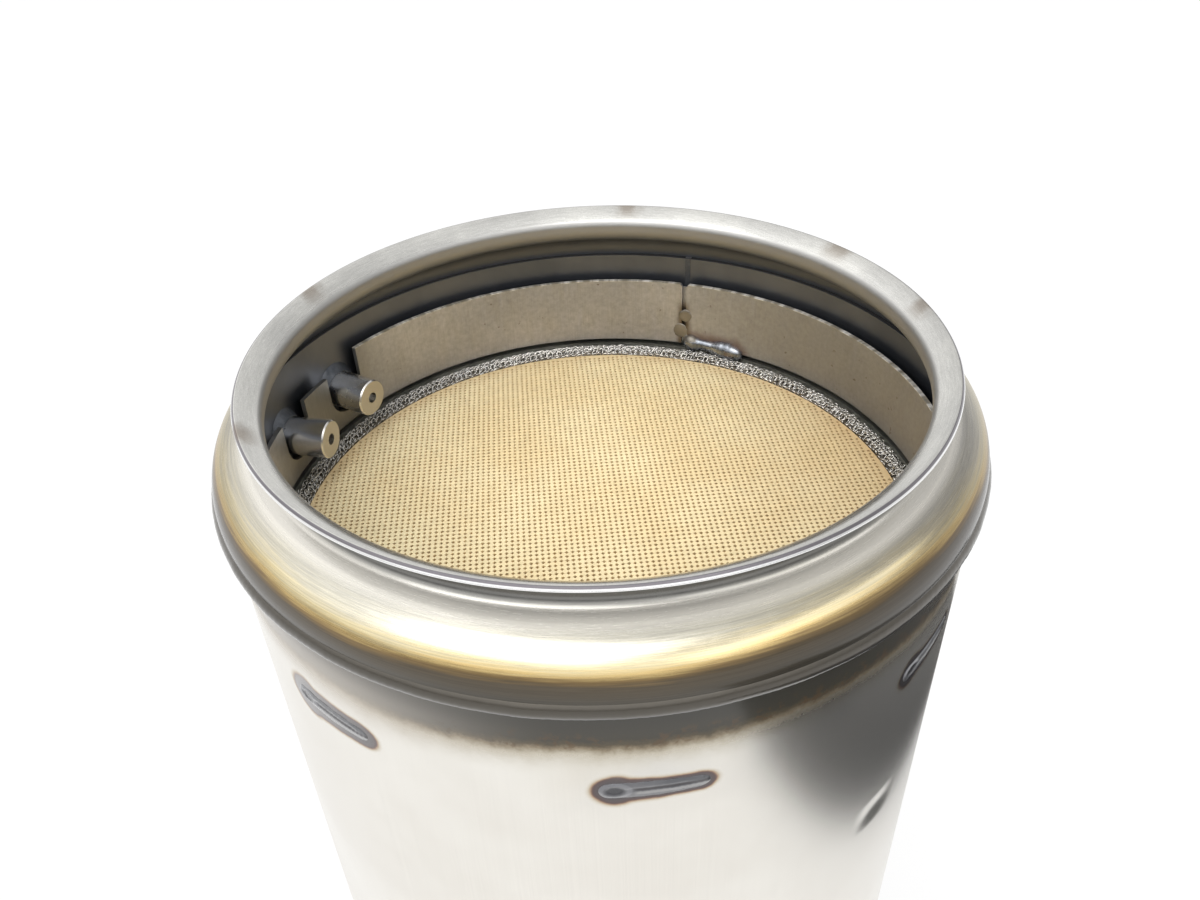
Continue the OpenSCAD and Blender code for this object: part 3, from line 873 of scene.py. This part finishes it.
def bead_material():
    """Dark weld metal, streaked around the part, with a painted highlight as a pale line along the bead's
    toe.
    """
    m = Shader("bead_metal")
    streak = m.noise(1.0, 4, vec=m.grain(70, 2200, 1300))
    m.colour = m.tones(streak, rgb(70, 70, 73), rgb(85, 85, 89), 0.35, 0.65)
    m.paint(m.step(m.noise(60, 4), 0.5, 0.7, 0.0, 0.4), rgb(76, 70, 62))
    toe = m.plus(m.depth(), m.stray(m.noise(1.0, 3, vec=m.grain(16, 40)), 1.2))
    # The upper half carries the same oxide as the skirt above it
    m.paint(m.step(toe, 38.3, 37.3, 0.0, 0.9), rgb(86, 81, 72))
    # Painted highlight: a pale line along the bead's lower toe
    line = m.between(toe, (39.5, 40.0), (41.0, 40.5))
    m.paint(m.mul(line, 0.8), rgb(176, 177, 180))
    m.film(1.0)
    return m.finish(m.step(streak, 0.3, 0.7, 0.36, 0.44), streak, 0.08, 0.0002)


def tack_material():
    """Bright weld metal; the spots fused over the strip joint are dull like the strips."""
    m = Shader("tack_metal")
    cloud, ripple = m.weld_noise()
    m.colour = m.tones(cloud, rgb(122, 126, 132), rgb(172, 175, 180))
    m.paint(m.step(m.noise(55, 4), 0.54, 0.68, 0.0, 0.7), rgb(112, 90, 82))
    fused = m.mul(m.step(m.away(JOINT_AZ), 3.4, 2.8),
                  m.step(m.depth(), -STRIP_LOW - 2.6, -STRIP_LOW - 3.6))
    m.paint(fused, m.tones(cloud, rgb(124, 119, 111), rgb(152, 147, 138)))
    rough = m.plus(m.step(ripple, 0.3, 0.7, 0.22, 0.34), m.mul(fused, 0.20))
    return m.finish(rough, ripple, 0.4, 0.0004)


def stitch_place(m, depth):
    """Place beside the nearest stitch weld in mm: along the turn, and down from its axis."""
    az = m.mul(m.math("ARCTAN2", m.y, m.x), 180 / pi)
    turned = m.math("SUBTRACT", 2 * JOINT_AZ, az)
    at_inlet = m.math("GREATER_THAN", m.z, TOTAL * MM / 2)
    az = m.plus(m.mul(az, at_inlet), m.mul(turned, m.flip(at_inlet)))
    half = 180.0 / STITCHES
    along = m.math("WRAP", m.plus(az, -STITCH_AZ), half, -half)
    return m.mul(along, pi / 180 * SHELL_OR), m.plus(depth, STITCH_Z)


def shell_material():
    """Bright steel with heat marks around its welds, dark inside."""
    m = Shader("shell_steel")
    depth = m.depth()
    grain = m.noise(1.0, 3, vec=m.grain(700, 5))
    cloud = m.noise(14, 4)
    m.colour = m.tones(cloud, rgb(229, 225, 217), rgb(236, 233, 226))
    m.vary(grain, 0.965, 1.02)
    # Grey and straw clouds of heat below the band
    fog = m.mul(m.step(m.noise(11, 3), 0.40, 0.70), m.step(depth, 100, 58))
    haze = m.tones(cloud, rgb(184, 186, 190), rgb(192, 182, 164), 0.4, 0.6)
    m.paint(m.mul(fog, 0.45), haze)
    # Welds through the shell: violet-brown rim, then a straw fringe
    along, down = stitch_place(m, depth)
    over = m.most(m.plus(m.math("ABSOLUTE", along), -STITCH_END), 0.0)
    bar = m.hypot(over, m.mul(down, m.step(along, -STITCH_END, STITCH_END, 1.0, 1.25)))
    crater = m.plus(m.hypot(m.plus(along, CRATER), down), -1.4)
    gap = m.math("SMOOTH_MIN", bar, crater, 1.0)
    gap = m.plus(gap, m.stray(m.noise(160, 3), 1.3))
    # The weld at the front left has a wider mark
    gap = m.plus(gap, m.step(m.away(STITCH_AZ - 45), 16.0, 12.0, 0.0, -2.0))
    halo = m.ramp(m.step(gap, 2.5, 9.5),
                  (0.0, rgb(74, 67, 68)), (0.30, rgb(86, 70, 69)), (0.40, rgb(116, 92, 82)),
                  (0.50, rgb(176, 152, 128)), (0.66, rgb(206, 196, 178)), (1.0, rgb(232, 229, 222)))
    m.paint(m.step(gap, 9.0, 6.0), halo)
    # Heat band under the flange weld with a ragged, rusty edge; at the left it is painted paler and less
    # rusty, as painted light
    ragged = m.plus(m.plus(depth, m.stray(m.noise(10, 2), 8.0)), m.stray(m.noise(95, 6, 0.75), 7.0))
    band = m.ramp(m.step(ragged, 40.0, 74.0),
                  (0.0, rgb(65, 63, 57)), (0.32, rgb(72, 68, 58)), (0.42, rgb(94, 84, 66)),
                  (0.50, rgb(142, 129, 107)), (0.62, rgb(192, 184, 167)), (1.0, rgb(228, 225, 216)))
    left = m.step(m.away(-145), 50.0, 14.0)
    band = m.mix(m.mul(left, m.step(depth, 43.0, 54.0, 0.30, 0.62)), band, rgb(206, 199, 189))
    m.paint(m.step(ragged, 73.0, 58.0), band)
    rust = m.mul(m.step(m.noise(210, 4, 0.7), 0.53, 0.63), m.between(ragged, (48.0, 53.0), (60.0, 55.0)))
    m.paint(m.mul(rust, m.step(left, 0.0, 0.6, 0.55, 0.0)), rgb(100, 78, 54))
    # The inside of the tube is dark blue-grey
    inside = m.inside_shell()
    m.paint(inside, m.tones(cloud, rgb(98, 102, 110), rgb(117, 120, 127), 0.35, 0.65))
    matt = m.most(inside, m.step(ragged, 62.0, 52.0))
    rough = m.plus(m.step(grain, 0.3, 0.7, 0.25, 0.268), m.mul(matt, m.step(inside, 0.0, 1.0, 0.33, 0.2)))
    skin = m.most(m.step(ragged, 64.0, 50.0), m.step(gap, 7.0, 4.0))
    m.film(m.mul(skin, m.flip(inside)))
    return m.finish(rough, grain, 0.02, 0.0001)


def stitch_material():
    """Grey weld metal with painted shade in a dark groove and a dark crater, and painted light on a paler
    lower half and crater lip.
    """
    m = Shader("stitch_metal")
    along, down = stitch_place(m, m.depth())
    cloud, ripple = m.weld_noise()
    m.colour = m.tones(cloud, rgb(92, 93, 97), rgb(113, 113, 116))
    wave = m.plus(down, m.stray(m.noise(60, 3), 1.2))
    bar = m.step(along, -8.0, -5.0)
    # Painted light on the lower half of the bar
    m.paint(m.mul(bar, m.between(wave, (0.2, 0.8), (2.6, 1.4))), rgb(152, 151, 151))
    # Painted shade in the groove along the bar
    groove = m.mul(bar, m.between(wave, (-1.2, -0.6), (0.4, -0.1)))
    m.paint(m.mul(groove, 0.8), rgb(70, 66, 68))
    # Painted shade in the crater
    pit = m.hypot(m.mul(m.plus(along, CRATER), CRATER_LONG), down)
    m.paint(m.step(pit, 2.5, 1.5), rgb(62, 62, 66))
    # Painted highlight on the crater's lip
    edge = m.between(pit, (2.2, 2.9), (4.2, 3.4))
    m.paint(m.mul(edge, 0.5), rgb(150, 150, 154))
    m.film(1.0)
    return m.finish(m.step(ripple, 0.3, 0.7, 0.32, 0.46), ripple, 0.2, 0.0002)


def strip_material():
    """Dull rolled strip, brown around the tack welds, with painted shade to the right and by the ports, and
    painted glints on its sheared edge.
    """
    m = Shader("strip_steel")
    depth = m.depth()
    grain = m.noise(1.0, 4, vec=m.grain(240, 60))
    mottle = m.noise(420, 4, 0.65)
    m.colour = m.tones(m.noise(18, 4), rgb(178, 177, 178), rgb(196, 194, 193))
    m.vary(grain, 0.84, 1.10)
    m.vary(mottle, 0.84, 1.12)
    # Darker towards the right and around the ports: painted shade, with some soot
    soot_and_shade = m.most(m.step(m.x, 0.04, 0.12, 0.0, 0.5), m.step(m.away(PORT_AZ), 20.0, 9.0, 0.0, 0.85))
    m.paint(soot_and_shade, rgb(130, 128, 122))
    # Brown heat around the tack welds and the fused joint
    for turn in (-7.0, 113.0, -127.0):
        near = m.plus(m.mul(m.most(m.plus(m.away(JOINT_AZ + turn), -5.5), 0.0), 2.4),
                      m.most(m.plus(m.mul(depth, -1.0), 77.5), 0.0))
        near = m.plus(near, m.stray(m.noise(130, 4), 4.0))
        m.paint(m.step(near, 9.0, 1.0, 0.0, 0.8), rgb(122, 96, 86))
    near = m.plus(m.mul(m.away(JOINT_AZ), 2.48), m.stray(m.noise(110, 4), 3.0))
    m.paint(m.mul(m.step(near, 5.0, 1.0), m.step(depth, 52, 60)), rgb(120, 108, 94))
    m.paint(m.step(m.noise(260, 2), 0.70, 0.76, 0.0, 0.5), rgb(96, 74, 52))
    # Sheared upper edge, with painted glints
    sheared = m.step(depth, -STRIP_TOP + 0.5, -STRIP_TOP + 0.15)
    painted_glint = m.tones(m.noise(1.0, 4, vec=m.grain(24, 0)), rgb(150, 143, 128), rgb(236, 233, 226), 0.40, 0.64)
    m.paint(sheared, painted_glint)
    m.metallic(m.flip(m.mul(sheared, 0.7)))
    relief = m.plus(grain, m.mul(mottle, 0.6))
    return m.finish(m.step(grain, 0.3, 0.7, 0.46, 0.62), relief, 0.3, 0.0001)


def fitting_material():
    """Turned steel; the inner end is duller than the side."""
    m = Shader("fitting_steel")
    fine = m.noise(1400, 2)
    cloud = m.noise(60, 4)
    m.colour = m.tones(cloud, rgb(222, 221, 218), rgb(238, 236, 231))
    m.vary(fine, 0.92, 1.05)
    facing = m.add("VectorMath", m.add("TexCoord").outputs["Normal"],
                   m.add("CombineXYZ", m.nx, m.ny, 0.0).outputs[0], operation="DOT_PRODUCT")
    inner_end = m.step(facing.outputs["Value"], -0.85, -0.95)
    m.paint(inner_end, m.shade(rgb(186, 183, 178), cloud, 0.9, 1.1))
    rough = m.plus(m.step(cloud, 0.3, 0.7, 0.20, 0.30), m.mul(inner_end, 0.12))
    return m.finish(rough, fine, 0.08, 0.0001)


def inner_material():
    """Plain dull steel of the can and the end rings."""
    m = Shader("inner_steel")
    fine = m.noise(900, 2)
    m.colour = m.tones(m.noise(30, 5), rgb(148, 150, 143), rgb(174, 174, 167))
    return m.finish(m.step(fine, 0.3, 0.7, 0.36, 0.5), fine, 0.1, 0.0001)


def wire_material(name, low, high, rough):
    """Wire, with painted shade on the left, near the ports."""
    m = Shader(name, rough=rough)
    cloud = m.noise(160, 4)
    m.colour = m.tones(cloud, low, high, 0.35, 0.65)
    # Painted shade on the left, where the ports stand
    m.paint(m.step(m.x, -0.03, -0.12, 0.0, 0.5), rgb(84, 80, 70))
    return m.finish(m.step(cloud, 0.3, 0.7, rough, rough + 0.1), m.noise(1600, 2), 0.3, 0.0002)


def ceramic_material():
    """Porous straw-coloured ceramic."""
    m = Shader("filter_ceramic", metallic=0.0, rough=0.85)
    pores = m.noise(2600, 4, 0.7)
    m.colour = m.tones(m.noise(16, 4), rgb(234, 211, 163), rgb(242, 225, 182))
    m.vary(m.noise(260, 2), 0.93, 1.05)
    m.vary(pores, 0.94, 1.04)
    # The channel walls are browner than the pale plugs
    m.paint(m.step(m.depth(), -FACE_Z + 0.15, -FACE_Z + 1.5), rgb(204, 170, 116))
    # Browner towards the right, partly soot and partly painted shade, and browner towards the edge of the
    # face
    soot_and_shade = m.plus(m.x, m.stray(m.noise(22, 3), 0.05))
    m.paint(m.step(soot_and_shade, 0.02, 0.13, 0.0, 0.42), rgb(206, 176, 130))
    edge = m.plus(m.radius(), m.stray(m.noise(40, 4), 10.0))
    m.paint(m.step(edge, BLOCK_R - 12, BLOCK_R + 3, 0.0, 0.5), rgb(196, 160, 112))
    return m.finish(None, pores, 0.35, 0.0002)


def fibre_material():
    """Pale felt of the insulation and the mat."""
    m = Shader("fibre", metallic=0.0, rough=0.95)
    fluff = m.noise(300, 5, 0.7, distortion=1.0)
    m.colour = m.tones(fluff, rgb(196, 190, 174), rgb(230, 226, 212))
    return m.finish(None, fluff, 0.5, 0.0006)


# The pieces

flange_mat = flange_material()
bead_mat = bead_material()
tack_mat = tack_material()
stitch_mat = stitch_material()
strip_mat = strip_material()
wire_mat = wire_material("bright_wire", rgb(222, 219, 212), rgb(246, 244, 240), 0.14)
ceramic_mat = ceramic_material()

for end, place in ENDS.items():
    ring = swept_ring(flange_section(), FLANGE_SEGS, place)
    ob = mesh_object(end + "_flange_skin", *ring, sharp=38)
    add_piece(ob, "flange_steel", flange_mat, end + "_flange")
    ring = swept_ring(bead_section(), BEAD_SEGS, place, bead_wobble(BEAD_SEEDS[end]))
    ob = mesh_object(end + "_flange_bead", *ring, sharp=50)
    add_piece(ob, "weld_metal", bead_mat, end + "_flange_weld")
    add_piece(honeycomb(end + "_honeycomb", place), "filter_ceramic", ceramic_mat)
    add_piece(knit(end + "_knit", place, *KNIT[end]), "wire_mesh", wire_mat)
    add_piece(tack_object(end + "_tack_beads", place), "weld_metal", tack_mat, end + "_tack_welds")
    add_piece(stitch_object(end + "_stitch_beads", place), "weld_metal", stitch_mat, end + "_stitch_welds")
    add_piece(joint_tongue(end + "_joint_tongue", place), "strip_steel", strip_mat)
add_piece(block_core("block_core"), "filter_ceramic", ceramic_mat, "filter_block")
add_piece(dented_shell("body_shell"), "shell_steel", shell_material(), "body_tube")

CAD_MATERIALS = (
    (seam_material(), ("body_seam_weld", "port_inner_welds", "port_outer_welds")),
    (inner_material(), ("filter_can", "inlet_end_ring", "outlet_end_ring")),
    (fibre_material(), ("insulation_blanket", "support_mat")),
    # The seal under the knit is darker, as painted shade between the loops
    (wire_material("wire_core", rgb(82, 78, 72), rgb(122, 116, 107), 0.45),
     ("inlet_mesh_seal", "outlet_mesh_seal")),
    (strip_mat, ("inlet_strip_rear", "inlet_strip_front", "outlet_strip_rear", "outlet_strip_front")),
    (fitting_material(), ("port_fitting_1", "port_fitting_2")))
for material, names in CAD_MATERIALS:
    for name in names:
        NODES[name].data.materials.clear()
        NODES[name].data.materials.append(material)


# Stage: floor, light and camera, in metres

WHITE = (1, 1, 1, 1)
FLOOR_GREY, FLOOR_GLOW = (0.9, 0.9, 0.9, 1), 0.82
FLOOR_R, FLOOR_Z = 9.0, -0.0006
# Corners of the dark card. It slopes so that a view from the right side meets it edge-on
CARD = ((0.183, -0.42, 0.150), (0.560, -0.52, 0.002), (0.644, 0.26, 0.002), (0.2455, 0.16, 0.150))
CARD_GREY = (0.03, 0.03, 0.032, 1)
AIM = (0, -0.1, 0.45)  # where the lights point
CAMERA_AT = (0.0, -0.33836, 0.66757)
PITCH, ROLL = 0.6287, -0.0412  # of the camera, in radians
FOCAL, IMAGE_WIDTH, SENSOR = 977.32, 1200, 36.0  # pixels, pixels and mm


def plain_material(name, colour, rough):
    """Plain material, with its tree and its shader."""
    mat = bpy.data.materials.new(name)
    t = Tree(mat)
    bsdf = t.tree.nodes["Principled BSDF"]
    t.put(bsdf, {"Base Color": colour, "Roughness": rough})
    return mat, t, bsdf


def floor_material():
    """White to the camera and in mirrors, with some of the part's shadow."""
    mat, t, bsdf = plain_material("floor_white", FLOOR_GREY, 0.9)
    path = t.add("LightPath").outputs
    seen = t.most(t.most(path["Is Camera Ray"], path["Is Glossy Ray"]), path["Is Transmission Ray"])
    glow = t.add("Emission", WHITE)
    mix = t.add("MixShader", t.mul(seen, FLOOR_GLOW), bsdf.outputs[0], glow.outputs[0])
    t.put(t.tree.nodes["Material Output"], {"Surface": mix.outputs[0]})
    return mat


def stage_floor(material):
    bm = bmesh.new()
    bmesh.ops.create_circle(bm, cap_ends=True, segments=96, radius=FLOOR_R)
    ob = bmesh_object("floor", bm)
    ob.location.z = FLOOR_Z
    ob.data.materials.append(material)


def stage_world():
    """White for the camera. The metal sees a pale studio that is darker in front of the part."""
    world = bpy.data.worlds.new("studio")
    bpy.context.scene.world = world
    t = Tree(world)
    ray = t.add("TexCoord").outputs["Generated"]
    ahead, height = t.add("SeparateXYZ", ray).outputs[1:3]
    # Low: white behind the part, dim in front of it. High: a broad bright sky on the left
    rear = t.step(ahead, -0.6, 0.5)
    low = t.plus(t.mul(rear, 0.57), 0.38)
    lean = t.add("VectorMath", ray, (-0.75, -0.5, 0.0), operation="DOT_PRODUCT").outputs["Value"]
    left = t.step(lean, -0.8, 0.45, 0.70, 1.5)
    up = t.step(height, 0.0, 0.38)
    sky = t.plus(t.mul(low, t.flip(up)), t.mul(left, up))
    path = t.add("LightPath").outputs
    seen = t.most(path["Is Camera Ray"], path["Is Transmission Ray"])
    white = t.most(seen, t.mul(path["Is Glossy Ray"], t.mul(rear, t.flip(up))))
    strength = t.plus(t.mul(sky, t.flip(white)), white)
    t.put(t.tree.nodes["Background"], {"Color": WHITE, "Strength": strength})


def stage_card(name, material, drop):
    """Sloping card at the right, which only the metal mirrors."""
    bm = bmesh.new()
    bm.faces.new([bm.verts.new((x, y, z - drop)) for x, y, z in CARD])
    ob = bmesh_object(name, bm)
    ob.data.materials.append(material)
    for ray in ("camera", "diffuse", "shadow", "transmission"):
        setattr(ob, "visible_" + ray, False)


def softbox(name, where, size, power):
    data = bpy.data.lights.new(name, "AREA")
    data.shape = "RECTANGLE"
    data.size, data.size_y = size
    data.energy = power
    ob = linked(name, data)
    ob.location = where
    ob.rotation_euler = (Vector(AIM) - Vector(where)).to_track_quat("-Z", "Y").to_euler()


def stage_camera():
    """Camera at the photograph's place, fitted to the rims that it shows."""
    ahead = Vector((0, cos(PITCH), -sin(PITCH)))
    right = ahead.cross(Vector((0, 0, 1))).normalized()
    up = right.cross(ahead)
    side = cos(ROLL) * right + sin(ROLL) * up
    top = cos(ROLL) * up - sin(ROLL) * right
    data = bpy.data.cameras.new("camera")
    data.sensor_fit = "HORIZONTAL"
    data.sensor_width = SENSOR
    data.lens = FOCAL / IMAGE_WIDTH * SENSOR
    data.clip_start, data.clip_end = 0.01, 60.0
    ob = linked("camera", data)
    ob.matrix_world = Matrix.Translation(CAMERA_AT) @ Matrix((side, top, -ahead)).transposed().to_4x4()
    bpy.context.scene.camera = ob


floor_white = floor_material()
stage_floor(floor_white)
stage_world()
softbox("key", (-0.52, -0.85, 2.1), (1.8, 1.6), 16.0)
softbox("window", (1.05, -0.73, 1.41), (1.9, 0.45), 3.6)
stage_card("card", plain_material("card_grey", CARD_GREY, 0.95)[0], 0.0)
stage_card("card_back", floor_white, 0.001)
stage_camera()
bpy.context.scene.view_settings.view_transform = "Standard"
